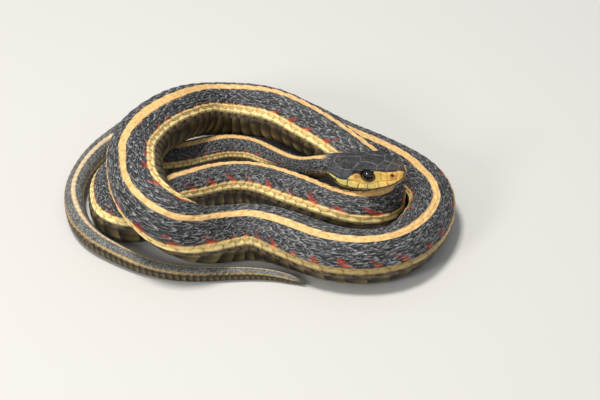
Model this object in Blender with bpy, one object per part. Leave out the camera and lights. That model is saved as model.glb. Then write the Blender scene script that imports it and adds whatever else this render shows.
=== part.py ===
# Garter snake at rest in loose coils, life size, as a still museum model.
# The animal is one long smooth body laid along a route and parted into named lengths by thin cuts.
# Sizes below are millimetres unless a name says otherwise, and the scene is in metres.
import bmesh
import bpy
import numpy as np
from mathutils import Matrix, Vector

MM = 0.001

# Driving sizes
HEAD_LENGTH = 24.0
EYE_RADIUS = 2.25
EYE_THICKNESS = 1.9
CUT_WIDTH = 0.3
BELLY_FLAT = 0.3
BELLY_FLAT_SHARE = 0.12
SETTLE = 0.4
CENTRE = (0.0, 0.2)

# Pose of the head: tip of the snout, the way it points, and its lean towards its right side
SNOUT_TIP = (44.7, -21.8, 22.5)
HEAD_HEADING = -25.0
HEAD_PITCH = 9.0
HEAD_ROLL = 4.0

# Route of the body behind the head: across, along, and how far the belly is above the floor
ROUTE = [
    (20.3, -9.2, 13.3), (18.1, -6.2, 11.3), (15.2, -1.9, 8.4), (12.0, 3.2, 5.1), (8.5, 7.9, 2.7),
    (4.5, 12.8, 1.0), (-3.0, 18.2, 0), (-10.0, 19.3, 0),
    (-17.5, 16.6, 0), (-26.0, 13.0, 0), (-35.0, 11.0, 0), (-42.8, 5.5, 0), (-46.6, -5.0, 0),
    (-46.0, -15.2, 0), (-43.7, -21.1, 0), (-38.4, -23.9, 0), (-33.0, -21.4, 0), (-30.8, -15.8, 0),
    (-27.8, -10.5, 0.1), (-22.2, -7.0, 0), (-13.0, -3.6, 0), (-2.5, -3.5, 0), (8.5, -9.7, 0.3),
    (19.0, -17.2, 0), (26.5, -20.9, 0), (32.5, -20.5, 0), (36.6, -17.3, 0), (38.3, -12.2, 1.1),
    (37.2, -7.0, 2.8), (33.4, -2.4, 4.6), (28.0, 2.5, 6.4), (21.5, 8.9, 7.9), (13.0, 17.8, 8.0),
    (3.5, 26.3, 6.7), (-8.0, 31.0, 5.2), (-18.5, 28.2, 6.7), (-24.5, 21.2, 9.5), (-28.8, 13.2, 11.8),
    (-35.0, 3.0, 12.3), (-37.6, -9.8, 12.7), (-36.0, -24.5, 13.1), (-31.5, -36.0, 11.8),
    (-25.5, -40.3, 8.4), (-18.0, -39.4, 3.8), (-9.5, -35.0, 0.7), (0, -33.4, 0), (10.0, -37.2, 0),
    (20.5, -43.2, 0), (31.0, -45.6, 0), (40.0, -43.3, 0), (46.6, -36.5, 0), (51.8, -25.0, 0),
    (53.6, -12.4, 0), (50.6, -2.0, 0), (43.8, 6.8, 0), (35.8, 14.4, 0), (25.5, 23.2, 0),
    (14.5, 34.6, 0), (1.5, 43.6, 0), (-12.0, 48.0, 0), (-25.0, 46.0, 0), (-36.0, 38.0, 0),
    (-44.0, 29.8, 0), (-50.2, 22.0, 0), (-55.2, 11.0, 0), (-57.5, -1.5, 0), (-55.9, -15.5, 0),
    (-50.1, -28.4, 0), (-41.5, -36.6, 0), (-32.3, -42.7, 0), (-21.5, -46.0, 0), (-10.5, -45.8, 0),
    (-0.5, -45.4, 0), (8.5, -47.0, 0), (15.0, -50.0, 0),
]

# Radius of the body against the distance from the snout as seen from above
GIRTH = [
    (0, 4.2), (26, 3.9), (36, 3.6), (50, 4.2), (66, 5.0), (100, 5.8), (130, 6.1), (165, 6.6),
    (190, 7.0), (212, 7.45), (235, 7.2), (262, 7.35), (300, 8.5), (345, 8.65), (400, 8.7),
    (430, 8.45), (475, 7.7), (500, 7.1), (520, 6.9), (552, 6.6), (580, 6.2), (605, 5.6),
    (635, 3.9), (660, 3.3), (690, 3.0), (715, 2.5), (745, 1.75), (768, 0.55),
]

# Shape of the head against the distance behind the tip of the snout
LIP_HALF_WIDTH = [
    (0, 1.5), (0.5, 2.45), (1.4, 3.3), (3, 4.1), (5, 4.7), (8, 5.2), (11, 5.65), (15, 6.1),
    (19, 6.25), (22, 5.7), (26.5, 4.2), (31, 3.7), (37, 3.5),
]
CHEEK_HALF_WIDTH = [
    (0, 1.3), (0.5, 2.1), (1.4, 2.9), (3, 3.65), (5, 4.15), (8, 4.7), (11, 5), (14, 5.4),
    (18, 6.05), (21, 5.8), (26.5, 4.2),
]
RIDGE_HALF_WIDTH = [
    (0, 1), (0.5, 1.7), (1.4, 2.4), (3, 3.1), (5, 3.8), (8, 4.8), (10.5, 5.3), (13, 5.1),
    (16, 4.6), (20, 4.2), (25, 3.2), (30, 3),
]
RIDGE_HEIGHT = [
    (0, 0.3), (0.5, 1), (1.4, 1.7), (3, 2.3), (5, 2.6), (8, 3), (10.5, 3.2), (14, 2.8), (17, 2.4),
    (21, 2), (25, 1.8), (30, 1.8),
]
CROWN_HEIGHT = [
    (0, 0.6), (0.5, 1.4), (1.4, 2.2), (3, 2.95), (5, 3.45), (8, 3.8), (11, 4.05), (15, 4.2),
    (19, 3.95), (23, 3.5), (28, 3.2), (33, 3.3),
]
LIP_HEIGHT = [
    (0, -1.1), (1.4, -1.8), (3, -2.4), (6, -3.2), (10, -3.8), (14, -3.7), (18, -3), (21, -2.1),
    (25, -1.5), (30, -1.2),
]
CHIN_HEIGHT = [
    (0, -1.4), (0.5, -2.1), (1.4, -2.8), (3, -3.5), (6, -4.4), (10, -4.9), (15, -5), (20, -4.6),
    (25, -3.9), (30, -3.5),
]

# Corners of the head's section, as shares of the widths and heights above
BROW_WIDTH = 0.58
BROW_HEIGHT = 0.8
CHEEK_LIFT = 0.2
JAW_TUCK = 0.4
TUCK_HEIGHT = 0.8
TUCK_DROP = 0.1
JOWL_WIDTH = 0.8
JOWL_HEIGHT = 0.35
THROAT_WIDTH = 0.45
THROAT_HEIGHT = 0.96

# Mouth, eyes and nostrils
JAW_CORNER = 21.0
MOUTH_DROP = 0.1
EYE_BACK = 10.1
EYE_SIDE = 4.3
EYE_RISE = 0.7
NOSTRIL_BACK = 2.5
NOSTRIL_RISE = 0.9
NOSTRIL_RADIUS = 0.55
NOSTRIL_OUT = 0.15

# Lengths over which the head runs into the neck
AXIS_SUPPORTS = (0, 8, 16, HEAD_LENGTH)
OVAL_START = 19.0
STIFF_END = HEAD_LENGTH + 7.0
NECK_ROUND_END = HEAD_LENGTH + 11.0
LEAN_END = HEAD_LENGTH + 25.0

# Block that parts the jaw: how far it reaches past the head, and its steps along the mouth
BLOCK_REACH = 12.0
BLOCK_FRONT = 3.0
BLOCK_STEPS = 16

# Faceting
BODY_SIDES = 20
TAIL_SIDES = 14
HEAD_RINGS = 28
HEAD_CROWDING = 1.35
EYE_SIDES = 20
MOST_STEP = 3.8
MOST_TURN = 12.0
CREASE = 0.88
ROUTE_SAMPLES = 6000
BEND_SAMPLES = 400
SHARP_ANGLE = 50.0

# Lengths of the body, each with its end as a distance along the body from the snout
LENGTHS = [
    ("neck", 56), ("body_01", 95), ("body_02", 136), ("body_03", 160), ("body_04", 178),
    ("body_05", 212), ("body_06", 252), ("body_07", 272), ("body_08", 296), ("body_09", 336),
    ("body_10", 372), ("body_11", 412), ("body_12", 440), ("body_13", 486), ("body_14", 522),
    ("body_15", 548), ("body_16", 584), ("body_17", 622), ("tail_1", 660), ("tail_2", 694),
    ("tail_3", 728), ("tail_4", 771.8),
]

DARK = (0.045, 0.048, 0.055, 1)
LIP_YELLOW = (0.7, 0.42, 0.13, 1)
EYE_BLACK = (0.012, 0.01, 0.01, 1)


def clear_scene():
    for item in list(bpy.data.objects):
        bpy.data.objects.remove(item, do_unlink=True)


def make_material(name, colour, roughness):
    material = bpy.data.materials.new(name)
    material.use_nodes = True
    shader = material.node_tree.nodes["Principled BSDF"]
    shader.inputs["Base Color"].default_value = colour
    shader.inputs["Roughness"].default_value = roughness
    shader.inputs["Metallic"].default_value = 0.0
    return material


def unit(vectors):
    return vectors / np.linalg.norm(vectors, axis=-1, keepdims=True)


def smooth_step(value, start, end):
    part = np.clip((value - start) / (end - start), 0, 1)
    return part * part * (3 - 2 * part)


def between(low, high, share):
    return low + (high - low) * share


def monotone(table, query):
    """Smooth curve through a table of pairs that never overshoots its values."""
    at, value = np.array(table, float).T
    step = np.diff(at)
    slope = np.diff(value) / step
    tangent = np.zeros(len(at))
    same = slope[1:] * slope[:-1] > 0
    mean = np.where(same, 2 * slope[1:] * slope[:-1] / np.where(same, slope[1:] + slope[:-1], 1), 0)
    tangent[1:-1] = mean
    tangent[0], tangent[-1] = slope[0], slope[-1]
    place = np.clip(query, at[0], at[-1])
    k = np.clip(np.searchsorted(at, place) - 1, 0, len(step) - 1)
    t = (place - at[k]) / step[k]
    rise = value[k] * (1 + 2 * t) * (1 - t) ** 2 + value[k + 1] * t * t * (3 - 2 * t)
    return rise + step[k] * (tangent[k] * t * (1 - t) ** 2 - tangent[k + 1] * t * t * (1 - t))


def natural(at, values, query):
    """Natural cubic spline through points, the way a bent spring would lie."""
    step = np.diff(at)
    count = len(at)
    matrix = np.eye(count)
    right = np.zeros((count,) + values.shape[1:])
    for k in range(1, count - 1):
        matrix[k, k - 1 : k + 2] = step[k - 1], 2 * (step[k - 1] + step[k]), step[k]
        after = (values[k + 1] - values[k]) / step[k]
        before = (values[k] - values[k - 1]) / step[k - 1]
        right[k] = 6 * (after - before)
    bend = np.linalg.solve(matrix, right)
    k = np.clip(np.searchsorted(at, query) - 1, 0, count - 2)
    shape = (-1,) + (1,) * (values.ndim - 1)
    width = step[k].reshape(shape)
    low = (at[k + 1] - query).reshape(shape)
    high = (query - at[k]).reshape(shape)
    return (
        bend[k] * low**3 / (6 * width)
        + bend[k + 1] * high**3 / (6 * width)
        + (values[k] / width - bend[k] * width / 6) * low
        + (values[k + 1] / width - bend[k + 1] * width / 6) * high
    )


def head_frame():
    """Unit vectors of the head: forward, to its right, and up."""
    heading, pitch, roll = np.radians((HEAD_HEADING, HEAD_PITCH, HEAD_ROLL))
    forward = np.array(
        (np.cos(heading) * np.cos(pitch), np.sin(heading) * np.cos(pitch), np.sin(pitch))
    )
    right = unit(np.cross(forward, (0, 0, 1)))
    up = np.cross(right, forward)
    leant_right = np.cos(roll) * right - np.sin(roll) * up
    return forward, leant_right, np.cross(leant_right, forward)


class Spine:
    """Axis of the whole animal from snout to tail tip, with radius, bend and frame at any distance."""

    def __init__(self):
        self.forward, self.head_right, self.head_up = head_frame()
        tip = np.array(SNOUT_TIP, float)
        head = [tip - self.forward * back for back in AXIS_SUPPORTS]
        flat = [point[:2] for point in head] + [point[:2] for point in ROUTE]
        flat = np.array(flat, float) - CENTRE
        plan = np.r_[0, np.cumsum(np.linalg.norm(np.diff(flat, axis=0), axis=1))]
        lift = np.array([point[2] for point in head] + [point[2] for point in ROUTE])
        lift[: len(head)] -= monotone(GIRTH, plan[: len(head)])
        query = np.linspace(0, plan[-1], ROUTE_SAMPLES)
        self.radius = monotone(GIRTH, query)
        sunk = np.minimum(BELLY_FLAT, self.radius * BELLY_FLAT_SHARE)
        raised = natural(plan, lift, query)
        raised = (raised + np.hypot(raised, SETTLE) - SETTLE) / 2
        height = raised + self.radius - sunk
        points = np.column_stack([natural(plan, flat, query), height])
        back = np.r_[0, np.cumsum(np.linalg.norm(np.diff(points, axis=0), axis=1))]
        self.tip = tip - (*CENTRE, 0)
        stiff = 1 - smooth_step(back, HEAD_LENGTH - 1, STIFF_END)
        straight = self.tip - self.forward * back[:, None]
        self.points = points + (straight - points) * stiff[:, None]
        self.back = np.r_[0, np.cumsum(np.linalg.norm(np.diff(self.points, axis=0), axis=1))]
        self.length = self.back[-1]
        self.along = unit(np.gradient(self.points, self.back, axis=0))
        self.bend = np.gradient(self.along, self.back, axis=0)

    def read(self, values, where):
        return np.array([np.interp(where, self.back, column) for column in values.T])

    def frame(self, where):
        """Point on the axis, direction towards the tail, the animal's right, and up."""
        along = unit(self.read(self.along, where))
        right = unit(np.cross((0, 0, 1), along))
        up = np.cross(along, right)
        lean = np.radians(HEAD_ROLL) * (1 - smooth_step(where, HEAD_LENGTH, LEAN_END))
        leant = right * np.cos(lean) - up * np.sin(lean)
        return self.read(self.points, where), along, leant, np.cross(along, leant)

    def stations(self, start, end):
        """Places of the rings from start to end, closer together where the body bends."""
        fine = np.linspace(start, end, BEND_SAMPLES)
        bend = np.linalg.norm([self.read(self.bend, where) for where in fine], axis=1)
        need = 1 / MOST_STEP + bend / np.radians(MOST_TURN)
        total = np.r_[0, np.cumsum((need[1:] + need[:-1]) / 2 * np.diff(fine))]
        rings = max(2, int(np.ceil(total[-1])) + 1)
        return np.interp(np.linspace(0, total[-1], rings), total, fine)


def body_ring(spine, where, sides):
    """Ring of points round the body: round, flat where it lies on the floor, creased inside bends."""
    point, along, right, up = spine.frame(where)
    radius = np.interp(where, spine.back, spine.radius)
    bend = spine.read(spine.bend, where)
    tightness = max(np.linalg.norm(bend), 1e-6)
    inward = bend / tightness
    angle = (np.arange(sides) + 0.5) * 2 * np.pi / sides
    to_neck = smooth_step(where, HEAD_LENGTH, NECK_ROUND_END)
    wide = radius * to_neck + monotone(LIP_HALF_WIDTH, where) * (1 - to_neck)
    above = radius * to_neck + monotone(CROWN_HEIGHT, where) * (1 - to_neck)
    below = radius * to_neck - monotone(CHIN_HEIGHT, where) * (1 - to_neck)
    tall = np.where(np.cos(angle) > 0, above, below)
    spread = np.outer(np.sin(angle) * wide, right) + np.outer(np.cos(angle) * tall, up)
    reach = spread @ inward
    over = np.maximum(0, reach - CREASE / tightness)
    ring = point + spread - np.outer(over, inward)
    ring[:, 2] = np.maximum(ring[:, 2], 0)
    return ring


def head_half_section(back):
    """Outline of the right half of the head across its axis, from the crown down to the chin."""
    lip_wide = float(monotone(LIP_HALF_WIDTH, back))
    cheek_wide = float(monotone(CHEEK_HALF_WIDTH, back))
    ridge_wide = float(monotone(RIDGE_HALF_WIDTH, back))
    ridge = float(monotone(RIDGE_HEIGHT, back))
    crown = float(monotone(CROWN_HEIGHT, back))
    lip = float(monotone(LIP_HEIGHT, back))
    chin = float(monotone(CHIN_HEIGHT, back))
    corners = np.array([
        (0, crown),
        (ridge_wide * BROW_WIDTH, between(ridge, crown, BROW_HEIGHT)),
        (ridge_wide, ridge),
        (cheek_wide, between(ridge, lip, 0.5) + CHEEK_LIFT),
        (lip_wide, lip),
        (lip_wide - JAW_TUCK, between(chin, lip, TUCK_HEIGHT) - TUCK_DROP),
        (lip_wide * JOWL_WIDTH, between(chin, lip, JOWL_HEIGHT)),
        (lip_wide * THROAT_WIDTH, chin * THROAT_HEIGHT),
        (0, chin),
    ])
    angle = np.linspace(0, np.pi, len(corners))
    tall = np.where(np.cos(angle) > 0, crown, -chin)
    oval = np.column_stack([np.sin(angle) * lip_wide, np.cos(angle) * tall])
    corners += (oval - corners) * smooth_step(back, OVAL_START, HEAD_LENGTH)
    ends = np.vstack([corners[1] * (-1, 1), corners, corners[-2] * (-1, 1)])
    halfway = (9 * (ends[1:-2] + ends[2:-1]) - ends[:-3] - ends[3:]) / 16
    outline = np.empty((2 * len(corners) - 1, 2))
    outline[0::2] = corners
    outline[1::2] = halfway
    return outline


def head_place(spine, back, side, rise):
    """World place of a point in the head, from its distance behind the snout, to the right and up."""
    return spine.tip - spine.forward * back + spine.head_right * side + spine.head_up * rise


def head_ring(spine, back):
    right = head_half_section(back)
    left = right[-2:0:-1] * (-1, 1)
    return np.array([head_place(spine, back, side, rise) for side, rise in np.vstack([right, left])])


def add_solid(name, points, faces, material):
    """One closed mesh object with its faces pointing out."""
    mesh = bpy.data.meshes.new(name)
    mesh.from_pydata([Vector(point) * MM for point in points], [], faces)
    work = bmesh.new()
    work.from_mesh(mesh)
    bmesh.ops.recalc_face_normals(work, faces=work.faces)
    work.to_mesh(mesh)
    work.free()
    mesh.materials.append(material)
    mesh.shade_smooth()
    mesh.set_sharp_from_angle(angle=np.radians(SHARP_ANGLE))
    piece = bpy.data.objects.new(name, mesh)
    bpy.context.scene.collection.objects.link(piece)
    return piece


def loft(name, rings, material):
    """Closed mesh through rings of equal count, with a flat face at each end."""
    sides = len(rings[0])
    faces = [tuple(range(sides))]
    for k in range(len(rings) - 1):
        here = k * sides
        for j in range(sides):
            after = (j + 1) % sides
            faces.append((here + j, here + after, here + sides + after, here + sides + j))
    last = (len(rings) - 1) * sides
    faces.append(tuple(last + j for j in range(sides)))
    return add_solid(name, np.vstack(rings), faces, material)


def jaw_block(spine, name, below_lip, rear):
    """Wedge below the line of the mouth, wider than the head, used to part the jaw from it."""
    backs = np.linspace(CUT_WIDTH, rear, BLOCK_STEPS)
    top = [(back, float(monotone(LIP_HEIGHT, back)) - below_lip) for back in backs]
    outline = [(-BLOCK_FRONT, top[0][1])] + top + [(rear, -BLOCK_REACH), (-BLOCK_FRONT, -BLOCK_REACH)]
    rings = []
    for side in (-BLOCK_REACH, BLOCK_REACH):
        rings.append(np.array([head_place(spine, back, side, rise) for back, rise in outline]))
    return loft(name, rings, bpy.data.materials["lip_yellow"])


def ball(spine, name, back, side, rise, across, through, material):
    """Ellipsoid set in the head, its short way pointing out sideways."""
    mesh = bpy.data.meshes.new(name)
    work = bmesh.new()
    bmesh.ops.create_uvsphere(work, u_segments=EYE_SIDES, v_segments=EYE_SIDES // 2 + 1, radius=MM)
    work.to_mesh(mesh)
    work.free()
    mesh.materials.append(material)
    mesh.shade_smooth()
    axes = np.column_stack([spine.forward * across, spine.head_up * across, spine.head_right * through])
    if np.linalg.det(axes) < 0:
        axes[:, 0] *= -1
    place = Matrix([[*row, 0] for row in axes] + [[0, 0, 0, 1]])
    place.translation = Vector(head_place(spine, back, side, rise)) * MM
    mesh.transform(place)
    piece = bpy.data.objects.new(name, mesh)
    bpy.context.scene.collection.objects.link(piece)
    return piece


def carve(piece, cutters, operation="DIFFERENCE"):
    """Applies Booleans with the cutters to a piece, then removes the cutters."""
    for cutter in cutters:
        modifier = piece.modifiers.new(cutter.name, "BOOLEAN")
        modifier.operation = operation
        modifier.object = cutter
    bpy.context.view_layer.update()
    graph = bpy.context.evaluated_depsgraph_get()
    mesh = bpy.data.meshes.new_from_object(piece.evaluated_get(graph))
    piece.modifiers.clear()
    piece.data = mesh
    for cutter in cutters:
        bpy.data.objects.remove(cutter, do_unlink=True)


def build_head(spine):
    backs = HEAD_LENGTH * np.linspace(0, 1, HEAD_RINGS) ** HEAD_CROWDING
    rings = [head_ring(spine, back) for back in backs[:-1]]
    rings.append(head_ring(spine, HEAD_LENGTH - CUT_WIDTH / 2))
    head = loft("head", rings, bpy.data.materials["dark"])
    jaw = loft("lower_jaw", rings, bpy.data.materials["lip_yellow"])
    carve(jaw, [jaw_block(spine, "jaw_part", MOUTH_DROP + CUT_WIDTH, JAW_CORNER)], "INTERSECT")
    cutters = [jaw_block(spine, "mouth_cut", MOUTH_DROP, JAW_CORNER + CUT_WIDTH)]
    black = bpy.data.materials["eye_black"]
    nostril_side = float(monotone(CHEEK_HALF_WIDTH, NOSTRIL_BACK))
    for side, word in ((1, "right"), (-1, "left")):
        at = (EYE_BACK, side * EYE_SIDE, EYE_RISE)
        socket = (EYE_RADIUS + CUT_WIDTH, EYE_THICKNESS + CUT_WIDTH)
        cutters.append(ball(spine, "socket_" + word, *at, *socket, black))
        ball(spine, "eye_" + word, *at, EYE_RADIUS, EYE_THICKNESS, black)
        hole = (NOSTRIL_BACK, side * (nostril_side + NOSTRIL_OUT), NOSTRIL_RISE)
        cutters.append(ball(spine, "nostril_" + word, *hole, NOSTRIL_RADIUS, NOSTRIL_RADIUS, black))
    carve(head, cutters)


def build_lengths(spine):
    start = HEAD_LENGTH
    for name, end in LENGTHS:
        first = start + CUT_WIDTH / 2
        last = end - CUT_WIDTH / 2
        sides = TAIL_SIDES if name.startswith("tail") else BODY_SIDES
        rings = [body_ring(spine, where, sides) for where in spine.stations(first, last)]
        loft(name, rings, bpy.data.materials["dark"])
        start = end


def main():
    clear_scene()
    make_material("dark", DARK, 0.45)
    make_material("lip_yellow", LIP_YELLOW, 0.45)
    make_material("eye_black", EYE_BLACK, 0.05)
    spine = Spine()
    build_head(spine)
    build_lengths(spine)


main()
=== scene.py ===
import bpy
import numpy as np
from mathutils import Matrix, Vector

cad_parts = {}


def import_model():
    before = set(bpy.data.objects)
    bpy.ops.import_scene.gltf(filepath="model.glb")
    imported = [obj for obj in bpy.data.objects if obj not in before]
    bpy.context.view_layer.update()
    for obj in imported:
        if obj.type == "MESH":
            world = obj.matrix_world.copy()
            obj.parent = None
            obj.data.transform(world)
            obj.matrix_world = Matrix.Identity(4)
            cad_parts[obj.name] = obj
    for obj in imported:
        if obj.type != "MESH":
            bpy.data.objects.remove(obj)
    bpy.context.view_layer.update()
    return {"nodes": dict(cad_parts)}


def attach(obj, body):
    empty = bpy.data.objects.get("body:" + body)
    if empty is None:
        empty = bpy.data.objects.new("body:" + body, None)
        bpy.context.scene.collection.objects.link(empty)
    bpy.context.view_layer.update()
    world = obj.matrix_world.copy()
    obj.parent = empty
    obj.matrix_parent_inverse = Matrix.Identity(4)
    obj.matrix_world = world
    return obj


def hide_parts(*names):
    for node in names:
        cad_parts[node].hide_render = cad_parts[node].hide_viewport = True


MM = 0.001

# Route, girth and head, the same sizes as the solids have; pairs are a distance from the snout and a value
HEAD_LENGTH = 24.0
BELLY_FLAT = 0.3
SETTLE = 0.4
CENTRE = (0.0, 0.2)
SNOUT_TIP = (44.7, -21.8, 22.5)
HEAD_HEADING = -25.0
HEAD_PITCH = 9.0
HEAD_ROLL = 4.0
CREASE = 0.88
ROUTE_SAMPLES = 6000
ROUTE = [
    (20.3, -9.2, 13.3), (18.1, -6.2, 11.3), (15.2, -1.9, 8.4), (12.0, 3.2, 5.1), (8.5, 7.9, 2.7),
    (4.5, 12.8, 1.0), (-3.0, 18.2, 0), (-10.0, 19.3, 0),
    (-17.5, 16.6, 0), (-26.0, 13.0, 0), (-35.0, 11.0, 0), (-42.8, 5.5, 0), (-46.6, -5.0, 0),
    (-46.0, -15.2, 0), (-43.7, -21.1, 0), (-38.4, -23.9, 0), (-33.0, -21.4, 0), (-30.8, -15.8, 0),
    (-27.8, -10.5, 0.1), (-22.2, -7.0, 0), (-13.0, -3.6, 0), (-2.5, -3.5, 0), (8.5, -9.7, 0.3),
    (19.0, -17.2, 0), (26.5, -20.9, 0), (32.5, -20.5, 0), (36.6, -17.3, 0), (38.3, -12.2, 1.1),
    (37.2, -7.0, 2.8), (33.4, -2.4, 4.6), (28.0, 2.5, 6.4), (21.5, 8.9, 7.9), (13.0, 17.8, 8.0),
    (3.5, 26.3, 6.7), (-8.0, 31.0, 5.2), (-18.5, 28.2, 6.7), (-24.5, 21.2, 9.5), (-28.8, 13.2, 11.8),
    (-35.0, 3.0, 12.3), (-37.6, -9.8, 12.7), (-36.0, -24.5, 13.1), (-31.5, -36.0, 11.8),
    (-25.5, -40.3, 8.4), (-18.0, -39.4, 3.8), (-9.5, -35.0, 0.7), (0, -33.4, 0), (10.0, -37.2, 0),
    (20.5, -43.2, 0), (31.0, -45.6, 0), (40.0, -43.3, 0), (46.6, -36.5, 0), (51.8, -25.0, 0),
    (53.6, -12.4, 0), (50.6, -2.0, 0), (43.8, 6.8, 0), (35.8, 14.4, 0), (25.5, 23.2, 0),
    (14.5, 34.6, 0), (1.5, 43.6, 0), (-12.0, 48.0, 0), (-25.0, 46.0, 0), (-36.0, 38.0, 0),
    (-44.0, 29.8, 0), (-50.2, 22.0, 0), (-55.2, 11.0, 0), (-57.5, -1.5, 0), (-55.9, -15.5, 0),
    (-50.1, -28.4, 0), (-41.5, -36.6, 0), (-32.3, -42.7, 0), (-21.5, -46.0, 0), (-10.5, -45.8, 0),
    (-0.5, -45.4, 0), (8.5, -47.0, 0), (15.0, -50.0, 0),
]
GIRTH = [
    (0, 4.2), (26, 3.9), (36, 3.6), (50, 4.2), (66, 5.0), (100, 5.8), (130, 6.1), (165, 6.6),
    (190, 7.0), (212, 7.45), (235, 7.2), (262, 7.35), (300, 8.5), (345, 8.65), (400, 8.7),
    (430, 8.45), (475, 7.7), (500, 7.1), (520, 6.9), (552, 6.6), (580, 6.2), (605, 5.6),
    (635, 3.9), (660, 3.3), (690, 3.0), (715, 2.5), (745, 1.75), (768, 0.55),
]
LIP_HALF_WIDTH = [
    (0, 1.5), (0.5, 2.45), (1.4, 3.3), (3, 4.1), (5, 4.7), (8, 5.2), (11, 5.65), (15, 6.1),
    (19, 6.25), (22, 5.7), (26.5, 4.2), (31, 3.7), (37, 3.5),
]
CHEEK_HALF_WIDTH = [
    (0, 1.3), (0.5, 2.1), (1.4, 2.9), (3, 3.65), (5, 4.15), (8, 4.7), (11, 5), (14, 5.4),
    (18, 6.05), (21, 5.8), (26.5, 4.2),
]
RIDGE_HALF_WIDTH = [
    (0, 1), (0.5, 1.7), (1.4, 2.4), (3, 3.1), (5, 3.8), (8, 4.8), (10.5, 5.3), (13, 5.1),
    (16, 4.6), (20, 4.2), (25, 3.2), (30, 3),
]
RIDGE_HEIGHT = [
    (0, 0.3), (0.5, 1), (1.4, 1.7), (3, 2.3), (5, 2.6), (8, 3), (10.5, 3.2), (14, 2.8), (17, 2.4),
    (21, 2), (25, 1.8), (30, 1.8),
]
CROWN_HEIGHT = [
    (0, 0.6), (0.5, 1.4), (1.4, 2.2), (3, 2.95), (5, 3.45), (8, 3.8), (11, 4.05), (15, 4.2),
    (19, 3.95), (23, 3.5), (28, 3.2), (33, 3.3),
]
LIP_HEIGHT = [
    (0, -1.1), (1.4, -1.8), (3, -2.4), (6, -3.2), (10, -3.8), (14, -3.7), (18, -3), (21, -2.1),
    (25, -1.5), (30, -1.2),
]
CHIN_HEIGHT = [
    (0, -1.4), (0.5, -2.1), (1.4, -2.8), (3, -3.5), (6, -4.4), (10, -4.9), (15, -5), (20, -4.6),
    (25, -3.9), (30, -3.5),
]
JAW_TUCK = 0.4
EYE_BACK = 10.1
EYE_SIDE = 4.3
EYE_RISE = 0.9
EYE_RADIUS = 2.25
EYE_THICKNESS = 1.9

# How far the back is turned about the body's own axis, outwards in most bends
ROLL = [
    (0, 0), (24, -3), (30, -13), (36, -11), (44, -6), (50, 0), (60, 6), (66, 11), (72, 7), (82, 1),
    (90, -2), (115, -8), (130, -17), (138, -17), (150, -10), (170, -9), (178, -15), (188, -19),
    (205, -19), (214, -16), (222, -12), (228, -2), (231, 4), (235, 14), (240, 24), (246, 22),
    (256, 22), (268, 21), (276, 18), (285, 13), (291, 9), (300, 2), (312, -1), (320, -5), (328, -12),
    (334, -12), (340, -6), (350, 0), (358, 7), (364, 16), (370, 24), (376, 28), (384, 35), (390, 38),
    (398, 37), (404, 28), (409, 19), (418, 14), (424, 13), (432, 16), (440, 17), (450, 18), (460, 16),
    (470, 14), (480, 16), (488, 18), (496, 16), (501, 6), (506, -2), (510, -8), (515, -13), (522, -10),
    (531, -8), (545, -8), (560, -5), (600, -15), (636, -22), (649, -10), (661, 0), (674, 6),
    (688, -6), (700, -20), (772, -18),
]
# How far the scale rows of each side are drawn apart or together, between the back stripe and the belly
RIGHT_SPREAD = [
    (0, 1), (55, 1.05), (70, 1.15), (88, 1), (245, 1), (256, 1.2), (276, 1.2), (286, 1.05),
    (296, 0.9), (306, 0.76), (318, 0.69), (332, 0.63), (346, 0.67), (358, 0.75), (372, 0.8),
    (388, 0.76), (402, 0.82), (420, 1), (772, 1),
]
LEFT_SPREAD = [
    (0, 1), (165, 1), (178, 1.17), (205, 1.18), (216, 1.05), (224, 1), (392, 1), (400, 1.1),
    (408, 0.95), (415, 0.84), (426, 0.76), (436, 0.87), (450, 0.97), (470, 1), (772, 1),
]
PATTERN_KNOTS = tuple(np.radians((0, 12, 62, 86, 180)))
STRIPE_HALF_WIDTH = [
    (0, 13.5), (120, 13), (200, 12), (235, 10.5), (300, 9), (328, 9.6), (350, 11.6), (362, 10.5),
    (376, 7.6), (398, 6.6), (410, 7.4), (425, 8.3), (450, 8.7), (520, 9), (600, 10), (700, 12),
]

# Seams between the plates of the head, as distance behind the snout and angle down from the crown
MIDDLE_SEAMS = [
    [(1.5, 0), (6.3, 0)],
    [(14.4, 0), (22.4, 0)],
]
CROWN_SEAMS = [
    [(6.3, 0), (6.6, 10), (7.4, 25), (7.0, 44)],
    [(7.4, 25), (8.9, 17), (11.3, 14), (13.0, 18), (13.8, 31), (15.0, 45)],
    [(13.0, 18), (14.4, 0)],
    [(15.0, 45), (17.8, 47), (20.3, 42), (22.0, 26), (22.6, 8), (22.4, 0)],
    [(3.9, 0), (4.1, 20), (4.4, 40), (4.1, 53)],
    [(1.5, 0), (1.3, 20), (1.4, 40)],
    [(7.0, 45), (8.4, 45.5), (10, 45.5), (13, 46), (15, 45)],
]
SIDE_SEAMS = [
    [(7.0, 44), (6.0, 50), (4.1, 53), (2.6, 46), (1.4, 40), (1.0, 60), (1.6, 76), (1.4, 89)],
    [(2.6, 46), (2.5, 59)],
    [(2.5, 69), (2.9, 75)],
    [(4.1, 53), (4.2, 74)],
    [(5.9, 50), (6.1, 73)],
    [
        (1.6, 76), (3.6, 75), (4.7, 74), (7.1, 74), (9.3, 78), (12, 78), (13.8, 74.5), (16.7, 70),
        (20.5, 71), (24.4, 77),
    ],
    [(13.4, 46), (14.8, 52), (14.9, 60), (14.4, 68), (13.4, 75)],
    [(12.5, 55), (14.8, 56)],
    [(12.7, 65), (14.6, 66)],
    [(18.2, 46.5), (18.8, 58), (18.6, 71)],
    [(18.8, 58), (22.6, 57)],
    [(21.6, 36), (22.8, 48), (22.9, 62), (22.8, 75)],
]
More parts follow.
